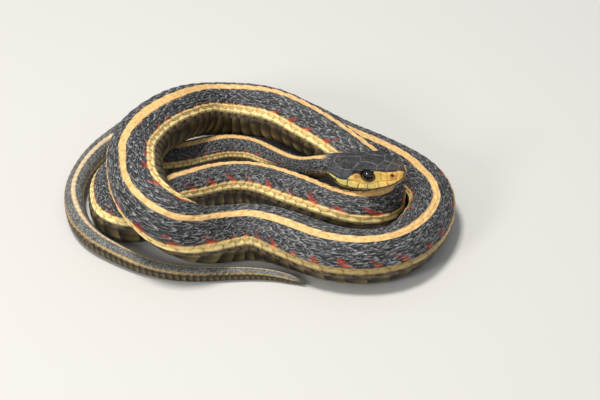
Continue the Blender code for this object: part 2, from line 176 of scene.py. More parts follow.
LIP_SEAMS = [
    [(4.5, 75), (4.0, 89)],
    [(7.3, 74), (6.9, 89)],
    [(10.6, 78), (10.7, 89)],
    [(13.1, 76), (14.0, 89)],
    [(16.6, 70.5), (17.3, 89)],
    [(20.4, 71), (21.0, 89)],
    [(23.2, 72), (23.6, 89)],
]
CHIN_SEAMS = [
    [(1.2, 106), (4, 110), (8, 111), (14, 110), (19, 106), (22.5, 99)],
    [(1.2, 106), (1.0, 92)],
    [(1.2, 106), (2.0, 150), (2.2, 180)],
    [(2.0, 150), (5, 138), (8.2, 140), (11, 148), (13.2, 160), (13.6, 180)],
    [(8.2, 140), (8.0, 180)],
]
CHIN_GROOVE = [(2.2, 180), (13.6, 180)]
CHIN_LABIALS = (3.0, 5.2, 7.6, 10.2, 13.0, 15.8, 18.6)
MOUTH_LINE = [(0.0, 90), (22.6, 90), (24.4, 87)]
NOSTRIL = [(2.5, 64), (2.75, 62)]

# Where the yellow of the cheeks, the plates and the mouth end, and how deep the eyes sit
YELLOW_TOP = [
    (0, 24), (0.7, 34), (1.6, 47), (3, 51), (4.2, 51), (6.5, 49), (7.6, 49), (8.6, 60), (11.8, 62),
    (12.6, 58), (13.6, 56), (14.9, 59), (15.9, 63), (16.8, 68.5), (18.4, 70.5), (21, 71), (23.4, 71),
    (24.4, 78), (24.9, 99), (25.2, 99),
]
YELLOW_ENDS = (24.2, 25.0)
PLATES_END = (22.5, 24.5)
MOUTH_ENDS = (23.6, 24.6)
LIP_ANGLE = 90
EYE_SIDE_FROM = (3.0, 3.6)
SOCKET_DEPTH = 0.75

# Relief of the head, as depth and width of each groove, and as height, distance and width of each rim
SEAM_GROOVES = ((0.11, 0.11), (0.07, 0.36))
MOUTH_GROOVES = ((0.5, 0.17), (0.12, 0.45))
NOSTRIL_PIT = ((0.6, 0.34),)
NOSTRIL_RIM = (0.12, 0.62, 0.18)
EYE_RIM = (0.13, EYE_RADIUS + 0.3, 0.17)

# Scale rows: their angles from the middle of the back, how many there are, and the space between scales
ROWS = 9
ROW_ANGLE = [(0, 0), (6.5, 60), (7.5, 71.5), (8.5, 83), (9.5, 96), (10.5, 107)]
ROW_COUNT = [(0, 9), (560, 9), (606, 8), (640, 6), (690, 4), (740, 2.6), (772, 2)]
SCALE_SPACE = [
    (0, 2.0), (60, 2.2), (110, 2.6), (150, 3.2), (175, 3.7), (210, 4.0), (255, 4.5), (290, 5.0),
    (520, 5.0), (600, 3.6), (650, 2.8), (772, 1.6),
]
COAT_DEPTH = [
    (0, 0), (20, 0), (27, 0.2), (100, 0.28), (300, 0.42), (500, 0.38), (640, 0.22), (772, 0.06),
]
COAT_START = 22.6
LIP_ROOM = 2.3
LIP_ROWS = (5.4, 6.2)
SMOOTH_ROWS_FROM = 8.7
TAIL_TAPER = 6.0
VENT = 612.0
BARE_TIP = 3.0
STATION_SAMPLES = 4000
COAT_PIECES = 7

# Plates of the coat: points across and down each of them, and how they lie on the body and on the map
SCALE_ACROSS = (-1, -0.62, -0.2, 0, 0.2, 0.62, 1)
SCALE_DOWN = (0, 0.14, 0.28, 0.42, 0.56, 0.7, 0.82, 0.92, 1.0)
SCUTE_DOWN = (0, 0.2, 0.45, 0.7, 0.88, 1.0)
BROAD_ACROSS = np.linspace(-1, 1, 29)
NARROW_ACROSS = np.linspace(-1, 1, 13)
SCALE_WIDEST = 0.42
SCALE_OVERLAP = 1.32
SCUTE_OVERLAP = 1.3
SCUTE_BOW = 0.28
SCUTE_TUCK = 5
PLATE_SEAT = 0.55
THINNEST_PLATE = 0.1
PLATE_CREASE = 55
PATCH_SIZE = 0.003
PAINT_LAYER = "Marking"

# Skin below the coat: its rings, and where its paint changes
HEAD_END = 28.0
HEAD_RINGS = 300
HEAD_SIDES = 384
BODY_RINGS = 560
BODY_SIDES = 96
EYE_SIDES = 72
UNDER_SHADE = 0.45
PAINT_MEETS_COAT = (23.0, 25.0)
BELLY_SIDES = (92, 100)

# Markings and painted shade, as angles from the middle of the back or places along it: start and end, or
# middle and width
BACK_BEGINS = (24.5, 27)
SIDE_BEGINS = (48, 62)
SIDE_TOP = 60
SIDE_TOP_SOFT = 2.5
SIDE_NARROWER = 6
NARROW_STRETCH = (467, 38)
NARROW_TAIL = (600, 660)
# stretch where the side stripe faces down and is painted darker olive as shade
SIDE_SHADE_STRETCH = (466, 38)
SIDE_ROWS_MEET = (69, 73)
SIDE_DULLER = (77, 84)
SIDE_BOTTOM = (80.5, 84.5)
NAPE_SPOT = (25.1, 0.8)
NAPE_SPOT_HEIGHT = (82, 8)
LOW_TOP = (81.5, 85)
TAIL_CHANGE = (560, 650)
PALE_RIMS_ABOVE = 0.63
PALE_SPOTS_BELOW = 0.09
THROAT_SHADE_END = (45, 75)
BELLY_PALER = (40, 90)
TAIL_BELLY_SHADE = (600, 640)
BLOTCHES = 5
STREAKS = 14
END_SPOTS = 9

# Red flecks: how many up to a place, the height and length of each step, and where they grow or shrink
FLAME_COUNT = [(0, 0), (60, 12), (110, 20.5), (170, 29), (240, 38), (520, 77), (640, 96), (772, 120)]
FLAME_STEPS = ((60.5, 0.25), (55, 0.21), (49.5, 0.16), (44, 0.1), (39, 0.07))
FLAME_GROWTH = ((212, 34, 0.3), (322, 34, -0.4), (392, 20, 0.4))
FLAME_FOOT = 60
FLAME_LEAN = 0.017
FLAME_JITTER = 0.16
FLAME_HALF_ANGLE = 4.6
FLAME_PALER = (55, 63)
FLAME_FOOT_FADE = (63, 69)
FLAMES_BEGIN = (40, 60)
FLAMES_END = (480, 600)
NECK_FLAMES = (80, 60)
FAINT_FLAMES = 0.08

# Constants of the repeatable noise, and a number for each use of it
HASH_FACTORS = (12.9898, 78.233, 37.719)
HASH_SCALE = 43758.5453
FAINT_DRAW = 2
KEEL_GLINT_DRAW = 3
PLACE_DRAW = 5
SIZE_DRAW = 11

# Camera, floor and lamps, in metres
CAMERA_PLACE = (0.01297, -0.6285, 0.4064)
CAMERA_DIP = 33
CAMERA_LENS = 142.5
CAMERA_SENSOR = 36
FLOOR_HALF = 3.0
FLOOR_COLOUR = (0.62, 0.6, 0.57, 1)
SKY_COLOUR = (0.9, 0.95, 1.0, 1)
LAMP_SIZE = 0.2
LAMPS = (
    ("key", (-0.18, 0.02, 0.86), 6.7, (1, 0.98, 0.94)),
    ("fill", (-0.5, -0.62, 0.36), 3.3, (1, 0.99, 0.96)),
)


def unit(vectors):
    return vectors / np.maximum(np.linalg.norm(vectors, axis=-1, keepdims=True), 1e-12)


def ramp(value, start, end):
    """Smooth climb from 0 to 1 between two values."""
    part = np.clip((value - start) / (end - start), 0, 1)
    return part * part * (3 - 2 * part)


def bump(value, centre, width):
    return np.exp(-(((value - centre) / width) ** 2))


def monotone(table, query):
    """Smooth curve through a table of pairs that never overshoots its values."""
    at, value = np.array(table, float).T
    step = np.diff(at)
    slope = np.diff(value) / step
    tangent = np.zeros(len(at))
    same = slope[1:] * slope[:-1] > 0
    mean = np.where(same, 2 * slope[1:] * slope[:-1] / np.where(same, slope[1:] + slope[:-1], 1), 0)
    tangent[1:-1] = mean
    tangent[0], tangent[-1] = slope[0], slope[-1]
    place = np.clip(query, at[0], at[-1])
    k = np.clip(np.searchsorted(at, place) - 1, 0, len(step) - 1)
    t = (place - at[k]) / step[k]
    rise = value[k] * (1 + 2 * t) * (1 - t) ** 2 + value[k + 1] * t * t * (3 - 2 * t)
    return rise + step[k] * (tangent[k] * t * (1 - t) ** 2 - tangent[k + 1] * t * t * (1 - t))


def stretch(value, before, after):
    """Straight stretches from one row of knots to another."""
    total = 0
    for k in range(len(before) - 1):
        part = np.clip((value - before[k]) / (before[k + 1] - before[k]), 0, 1)
        total = total + part * (after[k + 1] - after[k])
    return total


def run_length(points):
    """Length of a line of points up to each of them."""
    return np.r_[0, np.cumsum(np.linalg.norm(np.diff(points, axis=0), axis=1))]


def natural(at, values, query):
    """Natural cubic spline through points, the way a bent spring would lie."""
    step = np.diff(at)
    count = len(at)
    matrix = np.eye(count)
    right = np.zeros((count,) + values.shape[1:])
    for k in range(1, count - 1):
        matrix[k, k - 1 : k + 2] = step[k - 1], 2 * (step[k - 1] + step[k]), step[k]
        after = (values[k + 1] - values[k]) / step[k]
        before = (values[k] - values[k - 1]) / step[k - 1]
        right[k] = 6 * (after - before)
    bend = np.linalg.solve(matrix, right)
    k = np.clip(np.searchsorted(at, query) - 1, 0, count - 2)
    shape = (-1,) + (1,) * (values.ndim - 1)
    width = step[k].reshape(shape)
    low = (at[k + 1] - query).reshape(shape)
    high = (query - at[k]).reshape(shape)
    return (
        bend[k] * low**3 / (6 * width)
        + bend[k + 1] * high**3 / (6 * width)
        + (values[k] / width - bend[k] * width / 6) * low
        + (values[k + 1] / width - bend[k + 1] * width / 6) * high
    )


def head_frame():
    """Unit vectors of the head: forward, to its right, and up."""
    heading, pitch, roll = np.radians((HEAD_HEADING, HEAD_PITCH, HEAD_ROLL))
    forward = np.array((np.cos(heading) * np.cos(pitch), np.sin(heading) * np.cos(pitch), np.sin(pitch)))
    right = unit(np.cross(forward, (0, 0, 1)))
    up = np.cross(right, forward)
    leant_right = np.cos(roll) * right - np.sin(roll) * up
    return forward, leant_right, np.cross(leant_right, forward)


class Spine:
    """Axis of the whole animal from snout to tail tip, and the smooth form laid over it."""

    def __init__(self):
        self.forward, self.head_right, self.head_up = head_frame()
        tip = np.array(SNOUT_TIP, float)
        head = [tip - self.forward * back for back in (0, 8, 16, HEAD_LENGTH)]
        line = np.vstack([head, ROUTE])
        flat = line[:, :2] - CENTRE
        plan = run_length(flat)
        lift = line[:, 2]
        lift[: len(head)] -= monotone(GIRTH, plan[: len(head)])
        query = np.linspace(0, plan[-1], ROUTE_SAMPLES)
        radius = monotone(GIRTH, query)
        sunk = np.minimum(BELLY_FLAT, radius * 0.12)
        raised = natural(plan, lift, query)
        raised = (raised + np.hypot(raised, SETTLE) - SETTLE) / 2
        points = np.column_stack([natural(plan, flat, query), raised + radius - sunk])
        back = run_length(points)
        self.tip = tip - (*CENTRE, 0)
        stiff = 1 - ramp(back, HEAD_LENGTH - 1, HEAD_LENGTH + 7)
        straight = self.tip - self.forward * back[:, None]
        points = points + (straight - points) * stiff[:, None]
        self.back = run_length(points)
        self.length = self.back[-1]
        along = unit(np.gradient(points, self.back, axis=0))
        bend = np.gradient(along, self.back, axis=0)
        radius = radius * np.sqrt(np.clip((self.length - self.back) / TAIL_TAPER, 0.002, 1))
        roll = np.radians(monotone(ROLL, self.back))
        self.table = np.column_stack([points, along, bend, radius, roll])

    def read(self, where):
        table = np.stack([np.interp(where, self.back, column) for column in self.table.T], -1)
        return table[..., 0:3], unit(table[..., 3:6]), table[..., 6:9], table[..., 9], table[..., 10]

    def roll(self, where):
        return np.interp(where, self.back, self.table[:, 10])

    def body_knots(self, where, mark):
        """Angles on the body of the pattern's knots, drawn apart or together on each side."""
        share = np.where(mark > 0, monotone(RIGHT_SPREAD, where), monotone(LEFT_SPREAD, where))
        _, first, second, third, last = PATTERN_KNOTS
        flank = first + (second - first) * share
        return 0, first, flank, flank + (third - second) * share**0.35, last

    def to_body(self, where, mark):
        """Angle on the body for an angle in the pattern."""
        mark = np.mod(mark + np.pi, 2 * np.pi) - np.pi
        size = stretch(np.abs(mark), PATTERN_KNOTS, self.body_knots(where, mark))
        return np.sign(mark) * size - self.roll(where)

    def to_pattern(self, where, angle):
        """Angle in the pattern for an angle on the body."""
        mark = np.mod(angle + self.roll(where) + np.pi, 2 * np.pi) - np.pi
        return np.sign(mark) * stretch(np.abs(mark), self.body_knots(where, mark), PATTERN_KNOTS)

    def radius(self, where):
        return np.interp(where, self.back, self.table[:, 9])

    def form(self, where, angle):
        """Points of the smooth form; the angle runs from straight up towards the animal's right."""
        point, along, bend, radius, _ = self.read(where)
        side_way = unit(np.cross((0.0, 0.0, 1.0), along))
        up = np.cross(along, side_way)
        lean = np.radians(HEAD_ROLL) * (1 - ramp(where, HEAD_LENGTH, HEAD_LENGTH + 25))[..., None]
        right = side_way * np.cos(lean) - up * np.sin(lean)
        up = np.cross(along, right)
        to_neck = ramp(where, HEAD_LENGTH, HEAD_LENGTH + 11)
        wide = radius * to_neck + monotone(LIP_HALF_WIDTH, where) * (1 - to_neck)
        above = radius * to_neck + monotone(CROWN_HEIGHT, where) * (1 - to_neck)
        below = radius * to_neck - monotone(CHIN_HEIGHT, where) * (1 - to_neck)
        tall = np.where(np.cos(angle) > 0, above, below)
        spread = (np.sin(angle) * wide)[..., None] * right + (np.cos(angle) * tall)[..., None] * up
        tightness = np.maximum(np.linalg.norm(bend, axis=-1), 1e-6)
        inward = bend / tightness[..., None]
        reach = np.sum(spread * inward, axis=-1)
        over = np.maximum(0, reach - CREASE / tightness)
        places = point + spread - over[..., None] * inward
        in_head = where < HEAD_LENGTH
        if np.any(in_head):
            side, rise = head_section(where[in_head], angle[in_head])
            places[in_head] = (
                self.tip
                - where[in_head][:, None] * self.forward
                + side[:, None] * self.head_right
                + rise[:, None] * self.head_up
            )
        places[..., 2] = np.maximum(places[..., 2], 0)
        return places

    def surface(self, where, angle):
        """Points of the smooth form with their outward directions."""
        where, angle = np.broadcast_arrays(np.asarray(where, float), np.asarray(angle, float))
        where, angle = where.copy(), angle.copy()
        small = 0.05
        turn = small / np.maximum(self.radius(where), 0.5)
        before = np.clip(where - small, 0, self.length)
        after = np.clip(where + small, 0, self.length)
        down = self.form(after, angle) - self.form(before, angle)
        round_it = self.form(where, angle + turn) - self.form(where, angle - turn)
        return self.form(where, angle), unit(np.cross(down, round_it))


def head_section(back, angle):
    """Outline of the head across its axis: how far to the right and up, for each angle."""
    widths = LIP_HALF_WIDTH, CHEEK_HALF_WIDTH, RIDGE_HALF_WIDTH
    heights = RIDGE_HEIGHT, CROWN_HEIGHT, LIP_HEIGHT, CHIN_HEIGHT
    lip_wide, cheek_wide, ridge_wide = (monotone(table, back) for table in widths)
    ridge, crown, lip, chin = (monotone(table, back) for table in heights)
    zero = np.zeros_like(back)
    corners = [
        (zero, crown),
        (ridge_wide * 0.58, crown * 0.8 + ridge * 0.2),
        (ridge_wide, ridge),
        (cheek_wide, (ridge + lip) * 0.5 + 0.2),
        (lip_wide, lip),
        (lip_wide - JAW_TUCK, lip * 0.8 + chin * 0.2 - 0.1),
        (lip_wide * 0.8, lip * 0.35 + chin * 0.65),
        (lip_wide * 0.45, chin * 0.96),
        (zero, chin),
    ]
    ring = np.array(corners[1:2] + corners + corners[-2:-1])
    ring[[0, -1], 0] *= -1
    turned = np.mod(angle + np.pi, 2 * np.pi) - np.pi
    part = np.abs(turned) / np.pi * 8
    k = np.clip(part.astype(int), 0, 7)
    t = part - k
    pick = np.arange(len(k))
    weight = (
        (-t + 2 * t**2 - t**3) / 2,
        (2 - 5 * t**2 + 3 * t**3) / 2,
        (t + 4 * t**2 - 3 * t**3) / 2,
        (-(t**2) + t**3) / 2,
    )
    outline = sum(w * ring[k + n, :, pick].T for n, w in enumerate(weight))
    tall = np.where(np.cos(turned) > 0, crown, -chin)
    oval = np.array([np.sin(np.abs(turned)) * lip_wide, np.cos(turned) * tall])
    side, rise = outline + (oval - outline) * ramp(back, 19, HEAD_LENGTH)
    return side * np.where(turned < 0, -1, 1), rise


def colour(red, green, blue):
    """Linear colour from the usual 0 to 255 values."""
    value = np.array((red, green, blue), float) / 255
    return np.where(value <= 0.04045, value / 12.92, ((value + 0.055) / 1.055) ** 2.4)


def mix(first, second, amount):
    return first + (second - first) * np.asarray(amount)[..., None]


# Colours of the animal, and of the painted shade and highlights on it
CHARCOAL = colour(28, 29, 33)
# pale grey of the painted keel glints and of the pale spots
GLINT_AND_FLECK_GREY = colour(156, 155, 154)
# pale grey of the scale edges, both pale flecks and painted highlight
RIM_HIGHLIGHT_AND_FLECK_GREY = colour(192, 191, 186)
BACK_STRIPE = colour(232, 192, 128)
BACK_SEAM = colour(210, 154, 88)
SIDE_STRIPE = colour(248, 224, 154)
SIDE_LOW = colour(226, 204, 134)
SIDE_UPPER = colour(226, 178, 104)
SIDE_SHADE_OLIVE = colour(138, 114, 66)
SIDE_EDGE = colour(150, 104, 54)
# dark brown of the painted shade on the side stripe
SIDE_ROOT_SHADE = colour(70, 50, 28)
FLAME = colour(150, 38, 12)
FLAME_EDGE = colour(212, 100, 44)
LOW_ROW = colour(50, 40, 31)
LOW_PALE = colour(164, 136, 100)
BELLY = colour(92, 80, 55)
BELLY_EDGE = colour(180, 164, 108)
# dark brown of the painted shade below, and of the dark spots at the scutes' ends
BELLY_SHADE_AND_SPOTS = colour(26, 21, 16)
TAIL_STRIPE = colour(216, 198, 164)
TAIL_SIDE = colour(172, 148, 98)
TAIL_GROUND = colour(84, 83, 80)
CROWN = colour(41, 41, 44)
CROWN_PALE = colour(150, 147, 140)
SNOUT_BROWN = colour(92, 74, 60)
TEMPLE = colour(66, 68, 72)
LABIAL = colour(255, 214, 112)
LABIAL_LOW = colour(255, 226, 142)
LABIAL_REAR = colour(240, 222, 128)
CHEEK_ORANGE = colour(226, 150, 74)
LABIAL_SEAM = colour(58, 36, 20)
CHIN = colour(226, 214, 160)
NOSTRIL_BROWN = colour(140, 76, 44)
EYE_DARK = colour(4, 4, 4)
EYE_BROWN = colour(18, 12, 9)
EYE_GOLD = colour(190, 140, 60)


def hash_noise(*values):
    """Repeatable value from 0 to 1 for each set of numbers."""
    total = sum(np.asarray(value, float) * factor for value, factor in zip(values, HASH_FACTORS))
    return np.mod(np.sin(total) * HASH_SCALE, 1.0)


def clouds(points, size):
    """Soft patches about the given size, from 0 to 1."""
    x, y, z = (points / size).T
    first = np.sin(2.1 * x + 1.3 * np.sin(1.7 * y + z))
    second = np.sin(2.3 * y + 1.7 * np.sin(1.9 * z + 1.3 * x))
    return 0.5 + 0.25 * (first + second)


def row_centre(row, where):
    """Angle of a row, half the width of a scale in it, and the row that it would be at midbody."""
    table = np.array(ROW_ANGLE, float).T
    share = (ROWS + 0.5) / (monotone(ROW_COUNT, where) + 0.5)
    far = np.abs(row)
    middle = np.interp(far * share, *table)
    inner = np.interp(np.abs(far - 1) * share, *table) * np.where(far < 1, -1, 1)
    outer = np.interp((far + 1) * share, *table)
    return np.radians(middle) * np.sign(row), np.radians(outer - inner) / 2, far * share


def flames(where, angle):
    """Strength of the red flecks, each a row of lozenges that leans towards the head."""
    degrees = np.degrees(np.abs(angle))
    side = np.sign(angle)
    number = monotone(FLAME_COUNT, where) + 0.5 * (angle < 0)
    whole = np.floor(number)
    phase = number - whole - 0.5 + FLAME_JITTER * (hash_noise(whole, side, PLACE_DRAW) - 0.5)
    large = 1 + sum(change * bump(where, middle, wide) for middle, wide, change in FLAME_GROWTH)
    total = np.zeros(np.shape(degrees))
    for step, (height, long) in enumerate(FLAME_STEPS):
        vary = hash_noise(whole, side, SIZE_DRAW + step)
        shift = (height - FLAME_FOOT) * FLAME_LEAN + 0.05 * (vary - 0.5)
        size = long * large * (0.5 + 0.45 * vary) * (1 - 0.25 * bump(where, *NECK_FLAMES))
        away = np.abs(phase - shift) / size + np.abs(degrees - height) / FLAME_HALF_ANGLE
        likely = 1.0 - 0.27 * step + 0.7 * (large - 1)
        shown = 1 - ramp(vary, likely - 0.05, likely + 0.03) if step else 1.0
        total = np.maximum(total, (1 - ramp(away, 0.75, 1.15)) * shown)
    fade = ramp(where, *FLAMES_BEGIN) * (1 - ramp(where, *FLAMES_END))
    return total * fade * np.where(hash_noise(whole, side, FAINT_DRAW) < FAINT_FLAMES, 0.35, 1.0)


class Grain:
    """Where a point lies on its own scale: across from side to side, down from root to tip."""

    def __init__(self, across, down, odd):
        self.across = np.abs(across)
        self.down = down
        self.odd = odd
        self.tone = odd[..., None]
        self.tip = ramp(down, 0.8, 1.0)
        self.rim = np.maximum(ramp(self.across, 0.55, 1.0) * 0.8, self.tip)
        self.keel = bump(across, 0, 0.1) * ramp(down, 0.12, 0.4)


def flank_colour(speck, degrees, grain, tail, red):
    """Charcoal scales with painted glints on their keels, pale edges that are partly flecks and partly
    painted highlight, painted shade at their roots, and the red flecks.
    """
    ground = CHARCOAL * (0.7 + 0.6 * grain.tone)
    ground = ground + (TAIL_GROUND * (0.6 + 0.8 * grain.tone) - ground) * tail
    # painted glint: a pale dash along each keel where it would catch the light
    keel_glint = grain.keel * bump(grain.down, 0.66, 0.24) * (0.1 + 0.45 * hash_noise(grain.odd, KEEL_GLINT_DRAW))
    out = mix(ground, GLINT_AND_FLECK_GREY, keel_glint)
    # pale scale edges: partly pale flecks, partly painted highlight where the rear edges catch the light
    out = mix(out, RIM_HIGHLIGHT_AND_FLECK_GREY, grain.rim**1.5 * np.where(speck > PALE_RIMS_ABOVE, 0.95, 0.08))
    out = mix(out, GLINT_AND_FLECK_GREY, (speck < PALE_SPOTS_BELOW) * 0.6)
    # painted shade at each scale's root, where it lies under the scale in front
    out = mix(out, CHARCOAL * 0.3, (1 - ramp(grain.down, 0.1, 0.46)) * 0.92)
    flame = mix(FLAME * (0.7 + 0.5 * grain.tone), FLAME_EDGE, ramp(degrees, *FLAME_PALER) * 0.75)
    return mix(out, flame, red * (0.92 - 0.45 * grain.keel))


def back_colour(grain, tail):
    stripe = BACK_STRIPE + (TAIL_STRIPE - BACK_STRIPE) * tail
    return mix(stripe, BACK_SEAM, grain.rim * 0.5 + 0.25 * grain.odd)


def side_colour(where, degrees, grain, tail, red):
    """Cream lozenges of the side stripe, in two rows, with painted shade at their roots and in the gaps
    between them.
    """
    side = mix(SIDE_UPPER, SIDE_STRIPE, 0.45 + 0.55 * ramp(degrees, *SIDE_ROWS_MEET))
    side = mix(side, SIDE_LOW, ramp(degrees, *SIDE_DULLER) * 0.7)
    # painted shade: the side stripe is darker olive along the stretch where it faces down
    side = mix(side, SIDE_SHADE_OLIVE, bump(where, *SIDE_SHADE_STRETCH) * 0.75)
    side = side * (0.88 + 0.22 * grain.tone)
    side = side + (TAIL_SIDE - side) * tail
    edge = ramp(grain.across, 0.66, 1.0) * 0.6 + grain.tip * 0.5
    side = mix(side, SIDE_EDGE, np.clip(edge, 0, 1))
    # painted shade at the roots of the lozenges, and darker in the gaps between them
    side = mix(side, SIDE_ROOT_SHADE, (1 - ramp(grain.down, 0.06, 0.28)) * 0.8)
    gap = ramp(grain.across, 0.25, 0.8) * (1 - ramp(grain.down, 0.46, 0.68))
    side = mix(side, SIDE_ROOT_SHADE * 0.4, gap * 0.95)
    return mix(side, FLAME_EDGE, red * (1 - ramp(degrees, *FLAME_FOOT_FADE)) * 0.75)


def low_colour(speck, grain):
    """The dark row between the side stripe and the belly scutes, with painted shade at each scale's root and
    edges.
    """
    out = mix(LOW_ROW * (0.6 + 0.6 * grain.tone), LOW_PALE, bump(grain.across, 0, 0.45) * 0.5 * speck)
    shade = 1 - ramp(grain.down, 0.2, 0.5) + 0.7 * grain.rim
    return mix(out, BELLY_SHADE_AND_SPOTS, np.clip(shade, 0, 1) * 0.9)


def coat_colour(where, angle, row, across, down, odd):
    """Colour of a point of a scale, from its place in the pattern and its place on the scale."""
    degrees = np.degrees(np.abs(angle))
    grain = Grain(across, down, odd)
    tail = ramp(where, *TAIL_CHANGE)[..., None]
    speck = hash_noise(np.round(where * 3.1), np.round(degrees * 1.3), row)
    red = flames(where, angle)
    out = flank_colour(speck, degrees, grain, tail, red)
    edge = monotone(STRIPE_HALF_WIDTH, where) + 0.8 * (odd - 0.5)
    in_back = (1 - ramp(degrees, edge - 0.5, edge + 0.5)) * ramp(where, *BACK_BEGINS)
    out = mix(out, back_colour(grain, tail), in_back)
    top = SIDE_TOP + SIDE_NARROWER * (bump(where, *NARROW_STRETCH) + ramp(where, *NARROW_TAIL))
    in_side = ramp(degrees, top, top + SIDE_TOP_SOFT) * (1 - ramp(degrees, *SIDE_BOTTOM))
    spot = bump(where, *NAPE_SPOT) * bump(degrees, *NAPE_SPOT_HEIGHT)
    in_side = in_side * np.maximum(ramp(where, *SIDE_BEGINS), spot)
    out = mix(out, side_colour(where, degrees, grain, tail, red), in_side)
    return mix(out, low_colour(speck, grain), ramp(degrees, *LOW_TOP))


def belly_colour(where, across, down, odd):
    """Colour of a belly scute: painted shade at its root, olive middle, paler free edge, and dark outer ends
    that are partly spots and partly painted shade; painted shade on the throat and the tail.
    """
    blotch = hash_noise(np.floor(across * BLOTCHES), np.round(odd * 90))
    streak = hash_noise(np.round(across * STREAKS), odd)
    out = BELLY * (0.4 + 0.6 * blotch + 0.7 * streak)[..., None]
    pale = ramp(down, 0.55, 0.95) * (0.15 + 0.35 * blotch + 0.2 * streak)
    out = mix(out, BELLY_EDGE, pale * ramp(where, *BELLY_PALER))
    # painted shade at each scute's root, under the scute in front
    out = mix(out, BELLY_SHADE_AND_SPOTS, (1 - ramp(down, 0.3, 0.66)) * 0.9)
    # painted shade on the throat scutes, and darker towards the tail
    throat_shade = 1 - ramp(where, *THROAT_SHADE_END)
    out = mix(out, BELLY_SHADE_AND_SPOTS, ramp(where, *TAIL_BELLY_SHADE) * 0.45 + throat_shade * 0.65)
    # dark outer ends: the scutes' own dark spots, widened as painted shade
    far = np.abs(across)
    ends = ramp(far, 0.6, 0.82) * (1 - ramp(far, 0.93, 0.99) * 0.5)
    return mix(out, BELLY_SHADE_AND_SPOTS, ends * (0.45 + 0.5 * hash_noise(np.floor(across * END_SPOTS), odd * 10)))


class Stations:
    """Counts the scales along the body, one for each belly scute."""

    def __init__(self, spine):
        self.at = np.linspace(0, spine.length, STATION_SAMPLES)
        space = monotone(SCALE_SPACE, self.at)
        self.count = np.r_[0, np.cumsum(np.diff(self.at) * 2 / (space[1:] + space[:-1]))]

    def number(self, where):
        return np.interp(where, self.at, self.count)

    def place(self, number):
        return np.interp(number, self.count, self.at)


def link(name, mesh, material):
    mesh.materials.append(material)
    piece = bpy.data.objects.new(name, mesh)
    bpy.context.scene.collection.objects.link(piece)
    return piece


def build_mesh(name, points, loops, totals, colours, corner_uv, material, sharp=None):
    """Mesh from points, face corners in one row with their number for each face, and map places."""
    mesh = bpy.data.meshes.new(name)
    mesh.vertices.add(len(points))
    mesh.vertices.foreach_set("co", (points * MM).astype(np.float32).ravel())
    mesh.loops.add(len(loops))
    mesh.loops.foreach_set("vertex_index", loops.astype(np.int32))
    mesh.polygons.add(len(totals))
    mesh.polygons.foreach_set("loop_start", first_corners(totals).astype(np.int32))
    mesh.update(calc_edges=True)
    layer = mesh.uv_layers.new(name="OFBake")
    layer.data.foreach_set("uv", corner_uv.astype(np.float32).ravel())
    paint = mesh.color_attributes.new(PAINT_LAYER, "FLOAT_COLOR", "POINT")
    rgba = np.column_stack([np.clip(colours, 0, 1), np.ones(len(points))])
    paint.data.foreach_set("color", rgba.astype(np.float32).ravel())
    mesh.shade_smooth()
    if sharp:
        mesh.set_sharp_from_angle(angle=np.radians(sharp))
    return link(name, mesh, material)


def first_corners(totals):
    return np.r_[0, np.cumsum(totals)[:-1]]


class Template:
    """Grid of one plate with its rim turned down and closed below."""

    def __init__(self, across, down):
        self.across, self.down = np.meshgrid(across, down)
        rows, columns = self.across.shape
        index = np.arange(rows * columns).reshape(rows, columns)
        quads = np.stack([index[:-1, :-1], index[1:, :-1], index[1:, 1:], index[:-1, 1:]], axis=-1)
        self.border = np.concatenate([index[0, :-1], index[:-1, -1], index[-1, :0:-1], index[:0:-1, 0]])
        self.under = rows * columns + np.arange(len(self.border))
        after = np.roll(self.border, -1), np.roll(self.under, -1)
        skirt = np.stack([self.border, *after, self.under], axis=-1)
        self.quads = np.vstack([quads.reshape(-1, 4), skirt])
        self.count = rows * columns + len(self.border)
        self.across = self.across.ravel()
        self.down = self.down.ravel()

    def loops(self, copies):
        """Face corners and face sizes for many copies of the plate."""
        each = np.concatenate([self.quads.ravel(), self.under])
        totals = np.concatenate([np.full(len(self.quads), 4), [len(self.under)]])
        shift = (np.arange(copies) * self.count)[:, None]
        return (each[None] + shift).ravel(), np.tile(totals, copies)

    def map_places(self, root):
        """Small patch of the map for each copy at its root's place, with the underside beside it."""
        flat = np.column_stack([self.down - 0.5, self.across * 0.5]) * 0.8
        rim = flat[self.border] * 1.25
        top = np.vstack([flat, rim])[self.quads.ravel()]
        each = np.vstack([top, rim + (0, 1.15)]) * PATCH_SIZE
        return (root[:, None, :] + each[None]).reshape(-1, 2)

    def spread(self, *values):
        """Place across and down at every point of many copies, with the copies' own values."""
        own = [value[:, None] for value in values]
        return np.broadcast_arrays(self.across, self.down, *own)

    def seat(self, spine, place, mark, lift, drop):
        """Points of many copies: tops lifted off the smooth form, and rims turned down into it."""
        base, out = spine.surface(place, spine.to_body(place, mark))
        top = base + out * lift[..., None]
        rim = base[:, self.border] - out[:, self.border] * drop[..., None]
        return np.concatenate([top, rim], axis=1)

    def shade(self, tint, share):
        """Colours of many copies, with their rims shaded."""
        return np.concatenate([tint, tint[:, self.border] * share], axis=1)

    def build(self, name, points, tints, root, material):
        loops, totals = self.loops(len(root))
        points, tints = points.reshape(-1, 3), tints.reshape(-1, 3)
        return build_mesh(name, points, loops, totals, tints, self.map_places(root), material, PLATE_CREASE)


def scale_width(down):
    """Half width of a scale from root to tip, as a part of its widest."""
    front = 0.5 + 0.5 * np.sin(np.clip(down / SCALE_WIDEST, 0, 1) * np.pi / 2)
    rear = (1 - np.clip((down - SCALE_WIDEST) / (1 - SCALE_WIDEST), 0, 1) ** 2.1) ** 0.62
    return np.maximum(front * rear, 0.1)


def plate_depth(where):
    return np.maximum(monotone(COAT_DEPTH, where), THINNEST_PLATE)[:, None]


